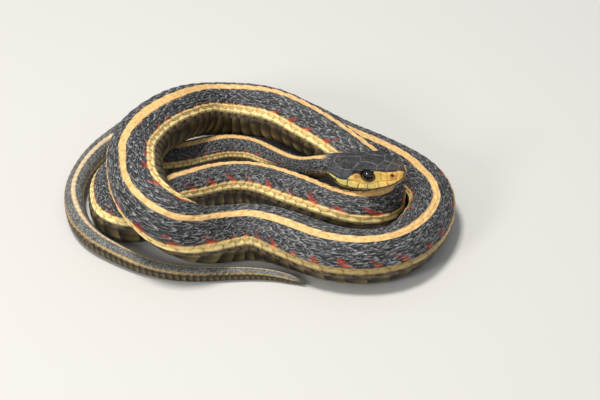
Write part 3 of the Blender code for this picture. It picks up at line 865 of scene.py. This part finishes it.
def seat_scales(stations):
    """Row and number along the body of every keeled scale, from head to tail."""
    rows, numbers = [], []
    last = np.floor(stations.count[-1]) - 1
    for row in range(-ROWS, ROWS + 1):
        number = np.arange(np.ceil(stations.number(COAT_START)), last) + 0.5 * (row % 2)
        where = stations.place(number)
        clear = where > COAT_START + LIP_ROOM * ramp(np.abs(row), *LIP_ROWS)
        number = number[clear & (np.abs(row) <= monotone(ROW_COUNT, where) + 0.45)]
        rows.append(np.full(len(number), row))
        numbers.append(number)
    rows, numbers = np.concatenate(rows), np.concatenate(numbers)
    order = np.argsort(numbers, kind="stable")
    return rows[order], numbers[order]


def lay_scales(spine, stations, material):
    """All keeled scales of the back and sides, in joined meshes by stretches of the body."""
    template = Template(SCALE_ACROSS, SCALE_DOWN)
    u, v = template.across[None], template.down[None]
    rows, numbers = seat_scales(stations)
    where = stations.place(numbers)
    middle, half, midbody_row = row_centre(rows, where)
    length = monotone(SCALE_SPACE, where) * SCALE_OVERLAP
    place = where[:, None] + (v - PLATE_SEAT) * length[:, None]
    mark = middle[:, None] + u * scale_width(v) * half[:, None] * 0.95
    depth = plate_depth(where)
    keel = bump(u, 0, 0.16) * ramp(v, 0.05, 0.3) * (1 - ramp(v, 0.86, 1.0))
    keel = keel * np.where(midbody_row > SMOOTH_ROWS_FROM, 0.25, 1.0)[:, None]
    lift = 1.05 * v**0.75 - 1 - 0.42 * np.abs(u) ** 2.2 * scale_width(v) - 0.25 * ramp(v, 0.85, 1.0)
    points = template.seat(spine, place, mark, depth * (lift + 0.42 * keel), depth * 1.35)
    points[..., 2] = np.maximum(points[..., 2], 0.01)
    across, down, row, odd = template.spread(rows, hash_noise(rows, numbers))
    tints = template.shade(coat_colour(place, mark, row, across, down, odd), 0.35)
    turned = 0.5 + (middle - spine.roll(where)) / (2 * np.pi) * 0.98
    root = np.column_stack([numbers / stations.count[-1], turned])
    pieces = []
    bounds = np.linspace(0, len(rows), COAT_PIECES + 1).astype(int)
    for index, (first, last) in enumerate(zip(bounds[:-1], bounds[1:])):
        part = slice(first, last)
        name = "scales_%d" % (index + 1)
        pieces.append(template.build(name, points[part], tints[part], root[part], material))
    return pieces


def lay_scutes(spine, stations, material, name, span, sides, template):
    """Broad scutes below: one for each step where sides is (0,), or a pair where it is (-1, 1)."""
    u, v = template.across[None], template.down[None]
    start, end = (stations.number(where) for where in span)
    number = np.arange(np.ceil(start), np.floor(end))
    numbers = np.concatenate([number + 0.25 * side for side in sides])
    side = np.repeat(sides, len(number))
    where = stations.place(numbers)
    reach = np.radians(180 - np.interp(ROWS + 0.5, *np.array(ROW_ANGLE, float).T) + SCUTE_TUCK)
    length = monotone(SCALE_SPACE, where)[:, None] * SCUTE_OVERLAP
    bow = SCUTE_BOW * (1 - u**2) * length
    place = np.clip(where[:, None] + (v - PLATE_SEAT) * length + bow * 0.4, 0, spine.length)
    mark = np.pi + (side[:, None] * 0.5 + u / len(sides)) * reach
    depth = plate_depth(where)
    lift = depth * (0.95 * v**0.7 - 1 - 0.3 * ramp(v, 0.88, 1.0))
    points = template.seat(spine, place, mark, lift, depth * 1.3)
    points[..., 2] = np.maximum(points[..., 2], 0)
    across, down, odd = template.spread(hash_noise(numbers, side + 3))
    tints = template.shade(belly_colour(place, across, down, odd), 0.4)
    turned = np.mod(np.pi + side * 0.5 * reach - spine.roll(where), 2 * np.pi) / (2 * np.pi)
    root = np.column_stack([numbers / stations.count[-1], 0.01 + 0.98 * turned])
    return template.build(name, points, tints, root, material)


def lay_belly(spine, stations, material):
    """The scutes across the belly, and the pairs under the tail."""
    broad = Template(BROAD_ACROSS, SCUTE_DOWN)
    narrow = Template(NARROW_ACROSS, SCUTE_DOWN)
    belly = COAT_START - 1.0, VENT
    tail = VENT, spine.length - BARE_TIP
    return [
        lay_scutes(spine, stations, material, "belly_scutes", belly, (0,), broad),
        lay_scutes(spine, stations, material, "tail_scutes", tail, (-1, 1), narrow),
    ]


def set_inputs(node, values):
    for name, value in values.items():
        node.inputs[name.replace("_", " ")].default_value = value


def add_node(tree, kind, output, joined, operation=None, **values):
    """Output of a new shader node, with inputs joined to other outputs and inputs set to values."""
    node = tree.nodes.new("ShaderNode" + kind)
    if operation:
        node.operation = operation
    for socket, source in joined.items():
        tree.links.new(source, node.inputs[socket])
    set_inputs(node, values)
    return node.outputs[output]


def map_range(tree, joined, from_min, from_max, **values):
    return add_node(tree, "MapRange", "Result", joined, From_Min=from_min, From_Max=from_max, **values)


def painted_material(name, **values):
    """Material, its shader with values set, and the colour that its meshes are painted with."""
    material = bpy.data.materials.new(name)
    material.use_nodes = True
    shader = material.node_tree.nodes["Principled BSDF"]
    set_inputs(shader, values)
    paint = material.node_tree.nodes.new("ShaderNodeVertexColor")
    paint.layer_name = PAINT_LAYER
    return material, shader, paint.outputs["Color"]


def skin_material(name, flecks):
    """Painted skin with a soft grain, pale flecks on its dark parts, and a slight bump."""
    material, shader, paint = painted_material(name, Roughness=0.54, Specular_IOR_Level=0.32)
    tree = material.node_tree
    place = {"Vector": add_node(tree, "TexCoord", "Object", {})}
    grain = add_node(tree, "TexNoise", "Fac", place, Scale=900, Detail=3)
    span = map_range(tree, {"Value": grain}, 0.3, 0.7, To_Min=0.82, To_Max=1.18)
    tone = add_node(tree, "VectorMath", "Vector", {0: paint, "Scale": span}, "SCALE")
    fine = add_node(tree, "TexNoise", "Fac", place, Scale=2000, Detail=2)
    light = add_node(tree, "RGBToBW", "Val", {"Color": paint})
    dark = map_range(tree, {"Value": light}, 0.012, 0.11, To_Min=flecks, To_Max=0.0)
    fleck = map_range(tree, {"Value": fine, "To Max": dark}, 0.6, 0.66)
    pale = add_node(tree, "VectorMath", "Vector", {0: tone, 1: fleck}, "ADD")
    raised = add_node(tree, "Bump", "Normal", {"Height": fine}, Strength=0.25, Distance=0.00008)
    tree.links.new(pale, shader.inputs["Base Color"])
    tree.links.new(raised, shader.inputs["Normal"])
    return material


def eye_material():
    gloss = {"Roughness": 0.12, "Specular_IOR_Level": 0.2, "Coat_Weight": 1.0, "Coat_Roughness": 0.02}
    material, shader, paint = painted_material("eye_gloss", **gloss)
    material.node_tree.links.new(paint, shader.inputs["Base Color"])
    return material


def rings(where, count):
    """Place and angle of every point of the rings at some places."""
    angle = np.arange(count) / count * 2 * np.pi
    place = np.broadcast_to(where[:, None], (len(where), count))
    return place, np.broadcast_to(angle[None], place.shape)


def grid_loops(rows, columns, shift=0):
    """Quads of a tube of rings that close on themselves."""
    index = np.arange(rows * columns).reshape(rows, columns) + shift
    after = np.roll(index, -1, axis=1)
    return np.stack([index[:-1], index[1:], after[1:], after[:-1]], axis=-1).reshape(-1, 4)


def bridge(fine, coarse, ratio):
    """Triangles that join a ring of many points to a ring of fewer."""
    faces = []
    for j in range(len(coarse)):
        here, after = coarse[j], coarse[(j + 1) % len(coarse)]
        run = [fine[(j * ratio + n) % len(fine)] for n in range(ratio + 1)]
        half = ratio // 2
        faces += [(here, b, a) for a, b in zip(run[:half], run[1 : half + 1])]
        faces.append((here, after, run[half]))
        faces += [(after, b, a) for a, b in zip(run[half:], run[half + 1 :])]
    return np.array(faces)


def under_coat(spine, place, turned):
    """The coat's markings, darkened for the skin below it, and each point's angle in the pattern."""
    mark = spine.to_pattern(place, turned)
    zero = np.zeros(place.shape)
    tint = coat_colour(place, mark, zero, zero + 0.5, zero + 0.6, zero + 0.5)
    return tint * UNDER_SHADE, np.degrees(np.abs(mark))


def head_skin(spine, where):
    """Points and colours of the skin's rings on the head."""
    place, turned = rings(where, HEAD_SIDES)
    base, out = spine.surface(place, turned)
    chart = HeadChart(spine, place, turned, base)
    move = head_relief(chart) - monotone(COAT_DEPTH, place.ravel())
    points = sink_sockets(spine, base.reshape(-1, 3) + out.reshape(-1, 3) * move[:, None])
    under = under_coat(spine, place, turned)[0].reshape(-1, 3)
    return points, mix(head_colour(chart), under, ramp(chart.back, *PAINT_MEETS_COAT))


def body_skin(spine, where):
    """Points and colours of the skin's rings on the body."""
    place, turned = rings(where, BODY_SIDES)
    base, out = spine.surface(place, turned)
    points = base - out * monotone(COAT_DEPTH, place)[..., None]
    tint, degrees = under_coat(spine, place, turned)
    tint = mix(tint, BELLY * 0.5, ramp(degrees, *BELLY_SIDES))
    return points.reshape(-1, 3), tint.reshape(-1, 3)


def skin_map(loops, totals, head, body):
    """Place on the map for each face corner: the skin is unrolled and cut along the back."""
    maps = rings(head / HEAD_END * 0.4, HEAD_SIDES), rings(0.41 + body * 0.58, BODY_SIDES)
    flat = [np.column_stack([share.ravel(), angle.ravel() / (2 * np.pi)]) for share, angle in maps]
    corner_uv = np.vstack(flat)[loops]
    widest = np.repeat(np.maximum.reduceat(corner_uv[:, 1], first_corners(totals)), totals)
    corner_uv[(widest > 0.9) & (corner_uv[:, 1] < 0.1), 1] += 1.0
    corner_uv[:, 1] *= 0.99
    return corner_uv


def build_skin(spine, material):
    """One closed skin from snout to tail tip, finest on the head."""
    head = HEAD_END * (0.0015 + 0.9985 * np.linspace(0, 1, HEAD_RINGS) ** 1.12)
    body = np.linspace(HEAD_END, spine.length - 0.05, BODY_RINGS)[1:]
    head_points, head_paint = head_skin(spine, head)
    body_points, body_paint = body_skin(spine, body)
    first_body = len(head_points)
    head_quads = grid_loops(len(head), HEAD_SIDES)
    quads = np.vstack([head_quads, grid_loops(len(body), BODY_SIDES, first_body)])
    last_head = (len(head) - 1) * HEAD_SIDES + np.arange(HEAD_SIDES)
    joint = bridge(last_head, first_body + np.arange(BODY_SIDES), HEAD_SIDES // BODY_SIDES)
    nose = np.arange(HEAD_SIDES)
    tail = first_body + (len(body) - 1) * BODY_SIDES + np.arange(BODY_SIDES)[::-1]
    loops = np.concatenate([quads.ravel(), joint.ravel(), nose, tail])
    totals = np.concatenate([np.full(len(quads), 4), np.full(len(joint), 3), [HEAD_SIDES, BODY_SIDES]])
    corner_uv = skin_map(loops, totals, head, (body - HEAD_END) / spine.length)
    points = np.vstack([head_points, body_points])
    points[:, 2] = np.maximum(points[:, 2], 0)
    return build_mesh("skin", points, loops, totals, np.vstack([head_paint, body_paint]), corner_uv, material)


def eye_colour(wide, deep, angle):
    """Black pupil, dark brown iris and black rim, with a thin gold line low at the front."""
    streak = hash_noise(np.floor(angle * 9), np.floor(wide * 14))
    iris = mix(EYE_BROWN * (0.7 + 0.6 * streak)[..., None], EYE_GOLD, bump(wide, 0.57, 0.035) * 0.12)
    paint = mix(EYE_DARK, iris, ramp(wide, 0.52, 0.56))
    paint = mix(paint, EYE_DARK, ramp(wide, 0.8, 0.92))
    low = ramp(-np.sin(angle - 0.6), 0.2, 0.9)
    return mix(paint, EYE_GOLD, bump(wide, 0.9, 0.035) * low * (deep > 0) * 0.5)


def build_eye(spine, side, material):
    """Eyeball as a flattened ball of rings about its own axis, which points to the side."""
    across = np.concatenate([np.linspace(0.02, 0.5, 10), np.linspace(0.53, 1.0, 22)])
    height = np.sqrt(np.clip(1 - across**2, 0, 1))
    shell = np.concatenate([across, across[-2::-1]])
    depth = np.concatenate([height, -height[-2::-1]])
    wide, angle = rings(shell, EYE_SIDES)
    deep = np.broadcast_to(depth[:, None], wide.shape)
    ahead = wide * np.cos(angle)
    above = wide * np.sin(angle)
    centre = spine.tip - spine.forward * EYE_BACK + spine.head_right * EYE_SIDE * side
    points = (
        centre
        + spine.head_up * EYE_RISE
        + (ahead * EYE_RADIUS)[..., None] * spine.forward
        + (above * EYE_RADIUS)[..., None] * spine.head_up
        + (deep * EYE_THICKNESS * side)[..., None] * spine.head_right
    )
    quads = grid_loops(len(shell), EYE_SIDES)[:, ::-side]
    ring = np.arange(EYE_SIDES)
    caps = [ring[::side], (len(shell) - 1) * EYE_SIDES + ring[::-side]]
    loops = np.concatenate([quads.ravel()] + caps)
    totals = np.concatenate([np.full(len(quads), 4), [EYE_SIDES, EYE_SIDES]])
    flat = np.stack([ahead, above], -1) * 0.24 + 0.25
    flat[..., 0] += np.where(deep < 0, 0.5, 0)
    corner_uv = flat.reshape(-1, 2)[loops]
    paint = eye_colour(wide, deep, angle).reshape(-1, 3)
    name = "eyeball_right" if side > 0 else "eyeball_left"
    return build_mesh(name, points.reshape(-1, 3), loops, totals, paint, corner_uv, material)


def chart_line(spine, line, side=1):
    """Points about 0.3 mm apart along a seam, laid on the smooth form of the head."""
    places = []
    for start, end in zip(np.array(line[:-1], float), np.array(line[1:], float)):
        reach = np.hypot(end[0] - start[0], np.radians(end[1] - start[1]) * 5)
        part = np.linspace(0, 1, max(3, int(reach / 0.3)))
        places.append(start + (end - start) * part[:, None])
    back, angle = np.vstack(places).T
    return spine.surface(back, np.radians(angle) * side)[0]


def nearest(points, lines):
    """Distance from each point to the nearest of some lines."""
    best = np.full(len(points), 1e9)
    for line in lines:
        for start, end in zip(line[:-1], line[1:]):
            way = end - start
            size = way @ way
            if size < 1e-12:
                continue
            part = np.clip((points - start) @ way / size, 0, 1)
            gap = points - start - part[:, None] * way
            best = np.minimum(best, np.einsum("ij,ij->i", gap, gap))
    return np.sqrt(best)


def off_seams(spine, points, seams, middle=()):
    """Distance of each point from seams on both sides of the head and along its middle."""
    lines = [chart_line(spine, line, side) for line in seams for side in (1, -1)]
    return nearest(points, lines + [chart_line(spine, line) for line in middle])


def eye_distance(spine, points):
    """Distance of each point from the eyes' common axis, and how far it is to the side."""
    local = points - spine.tip
    ring = np.hypot(-(local @ spine.forward) - EYE_BACK, local @ spine.head_up - EYE_RISE)
    return ring, local @ spine.head_right


class HeadChart:
    """Where each point of the head lies, and how far it is from seams, mouth, nostrils and eyes."""

    def __init__(self, spine, place, turned, base):
        points = base.reshape(-1, 3)
        self.back = place.ravel()
        self.degrees = np.degrees(np.abs(np.mod(turned.ravel() + np.pi, 2 * np.pi) - np.pi))
        labials = [[(back, 93), (back + 0.3, 110)] for back in CHIN_LABIALS]
        self.crown = off_seams(spine, points, CROWN_SEAMS, MIDDLE_SEAMS)
        self.cheek = off_seams(spine, points, SIDE_SEAMS)
        self.lips = off_seams(spine, points, LIP_SEAMS)
        self.chin = off_seams(spine, points, CHIN_SEAMS + labials, [CHIN_GROOVE])
        self.mouth = off_seams(spine, points, [MOUTH_LINE])
        self.nostril = off_seams(spine, points, [NOSTRIL])
        self.ring, side = eye_distance(spine, points)
        self.beside = ramp(np.abs(side), *EYE_SIDE_FROM)
        self.closed = 1 - ramp(self.back, *MOUTH_ENDS)
        self.grain = hash_noise(np.floor(self.back * 7), np.floor(self.degrees * 0.7))
        self.patchy = hash_noise(np.floor(self.back * 1.7), np.floor(self.degrees * 0.14), 3)
        self.cloud = clouds(points, 0.9)


def grooves(distance, sizes):
    return sum(depth * bump(distance, 0, width) for depth, width in sizes)


def rim(distance, size):
    height, middle, width = size
    return height * bump(distance, middle, width)


def head_relief(chart):
    """How far each point of the head moves out, at seams, mouth, nostrils and round the eye."""
    seams = np.minimum.reduce([chart.crown, chart.cheek, chart.lips, chart.chin])
    move = -grooves(seams, SEAM_GROOVES) * (1 - ramp(chart.back, *PLATES_END))
    move = move - grooves(chart.mouth, MOUTH_GROOVES) * chart.closed
    move = move - grooves(chart.nostril, NOSTRIL_PIT) + rim(chart.nostril, NOSTRIL_RIM)
    return move + rim(chart.ring, EYE_RIM) * chart.beside


def crown_colour(chart):
    """Dark plates with pale seams above, a brown snout and grey temples."""
    back, degrees = chart.back, chart.degrees
    out = CROWN * (0.25 + 0.5 * chart.grain + 0.7 * chart.cloud)[:, None]
    out = mix(out, SNOUT_BROWN, (1 - ramp(back, 0.3, 5.5)) * 0.55)
    seam = bump(chart.crown, 0, 0.1) * (0.3 + 0.7 * chart.patchy) * (0.5 + 0.5 * chart.grain)
    out = mix(out, CROWN_PALE, seam)
    out = mix(out, CROWN_PALE, (chart.grain > 0.9) * (0.22 + 0.4 * ramp(back, 17, 21)))
    out = mix(out, TEMPLE, ramp(degrees, 46, 50) * ramp(back, 14.5, 15.2))
    return mix(out, CROWN * 0.4, bump(chart.cheek, 0, 0.14) * ramp(degrees, 44, 48) * 0.8)


def cheek_colour(chart):
    """Yellow lips and cheeks with dark seams, orange behind the eye and on the snout."""
    back, degrees = chart.back, chart.degrees
    out = mix(LABIAL, LABIAL_LOW, ramp(degrees, 74, 86) * 0.8)
    out = mix(out, LABIAL_REAR, ramp(back, 13.5, 18))
    orange = bump(back, 13.6, 1.3) * (1 - ramp(degrees, 68, 76))
    orange = orange + (1 - ramp(back, 2.5, 7.5)) * 0.6
    out = mix(out, CHEEK_ORANGE, np.clip(orange, 0, 1) * 0.75)
    out = out * (0.92 + 0.16 * chart.grain)[:, None]
    out = mix(out, LABIAL_SEAM, bump(chart.cheek, 0, 0.09) * 0.55)
    thick = (0.1 + 0.07 * ramp(back, 12.5, 14.5)) * (0.8 + 0.6 * ramp(degrees, 78, 88))
    out = mix(out, LABIAL_SEAM, bump(chart.lips, 0, thick) * 0.92)
    return mix(out, CROWN * 0.6, bump(chart.cheek, 0, 0.22) * ramp(back, 15, 17) * 0.9)


def chin_colour(chart):
    """Pale chin shields, more orange along the lip and dark at the rear corner of the jaw."""
    back, degrees = chart.back, chart.degrees
    out = mix(CHIN, CHEEK_ORANGE, (1 - ramp(degrees, 92, 112)) * 0.7)
    out = mix(out, CROWN * 0.7, ramp(back, 19.5, 21.5) * (1 - ramp(degrees, 100, 130)))
    return mix(out, LABIAL_SEAM, bump(chart.chin, 0, 0.1) * (0.75 - 0.4 * ramp(degrees, 112, 125)))


def head_colour(chart):
    back, degrees = chart.back, chart.degrees
    top = monotone(YELLOW_TOP, back)
    in_yellow = ramp(degrees, top - 1, top + 1) * (1 - ramp(back, *YELLOW_ENDS))
    out = mix(crown_colour(chart), cheek_colour(chart), in_yellow)
    out = mix(out, chin_colour(chart), ramp(degrees, LIP_ANGLE - 1, LIP_ANGLE + 1))
    # painted shade along the mouth line, wider below the lip where the jaw lies in the gap under it
    mouth_shade_width = np.where(degrees > LIP_ANGLE, 0.62, 0.24)
    out = mix(out, LABIAL_SEAM * 0.3, bump(chart.mouth, 0, mouth_shade_width) * chart.closed)
    out = mix(out, NOSTRIL_BROWN, bump(chart.nostril, 0, 0.72) * 0.9)
    # dark centre: painted shade inside the nostril
    out = mix(out, LABIAL_SEAM * 0.3, bump(chart.nostril, 0, 0.33))
    # painted shade in the socket round the eye
    return mix(out, CROWN * 0.45, bump(chart.ring, EYE_RADIUS - 0.02, 0.22) * chart.beside)


def sink_sockets(spine, points):
    """Moves the skin behind each eyeball, so that the eye sits in its socket."""
    ring, side = eye_distance(spine, points)
    ball = EYE_SIDE + EYE_THICKNESS * np.sqrt(np.clip(1 - (ring / EYE_RADIUS) ** 2, 0, 1))
    within = 1 - ramp(ring, EYE_RADIUS - 0.22, EYE_RADIUS + 0.02)
    within = within * (np.abs(side) > EYE_SIDE_FROM[0])
    wanted = np.minimum(np.abs(side), ball - SOCKET_DEPTH)
    change = (wanted - np.abs(side)) * within * np.sign(side)
    return points + change[:, None] * spine.head_right


def set_camera():
    camera = bpy.data.objects.new("camera", bpy.data.cameras.new("camera"))
    camera.data.lens = CAMERA_LENS
    camera.data.sensor_width = CAMERA_SENSOR
    camera.data.clip_start = 0.01
    camera.location = CAMERA_PLACE
    camera.rotation_euler = (np.radians(90 - CAMERA_DIP), 0, 0)
    bpy.context.scene.collection.objects.link(camera)
    bpy.context.scene.camera = camera


def add_light(name, place, energy, tint):
    """Square studio lamp that points at the middle of the floor."""
    data = bpy.data.lights.new(name, "AREA")
    data.energy = energy
    data.size = LAMP_SIZE
    data.color = tint
    lamp = bpy.data.objects.new(name, data)
    lamp.location = place
    lamp.rotation_euler = (-Vector(place)).to_track_quat("-Z", "Y").to_euler()
    bpy.context.scene.collection.objects.link(lamp)


def set_stage():
    mesh = bpy.data.meshes.new("floor")
    corners = [(-1, -1), (1, -1), (1, 1), (-1, 1)]
    mesh.from_pydata([(x * FLOOR_HALF, y * FLOOR_HALF, 0) for x, y in corners], [], [(0, 1, 2, 3)])
    material = bpy.data.materials.new("floor")
    material.use_nodes = True
    shader = material.node_tree.nodes["Principled BSDF"]
    set_inputs(shader, {"Base_Color": FLOOR_COLOUR, "Roughness": 0.8})
    floor = link("floor", mesh, material)
    world = bpy.data.worlds.new("studio")
    world.use_nodes = True
    set_inputs(world.node_tree.nodes["Background"], {"Color": SKY_COLOUR, "Strength": 0.45})
    bpy.context.scene.world = world
    bpy.context.scene.view_settings.view_transform = "Standard"
    for lamp in LAMPS:
        add_light(*lamp)


def main():
    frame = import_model()
    set_camera()
    set_stage()
    spine = Spine()
    stations = Stations(spine)
    material = skin_material("snake_skin", 0.02)
    coat_material = skin_material("snake_scales", 0.2)
    flesh = [name for name in frame["nodes"] if not name.startswith("eye")]
    gloss = eye_material()
    for side, node in ((1, "eye_right"), (-1, "eye_left")):
        eye = build_eye(spine, side, gloss)
        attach(eye, "root")
        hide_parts(node)
    skin = build_skin(spine, material)
    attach(skin, "root")
    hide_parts(*flesh)
    for piece in lay_scales(spine, stations, coat_material) + lay_belly(spine, stations, material):
        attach(piece, "root")


main()
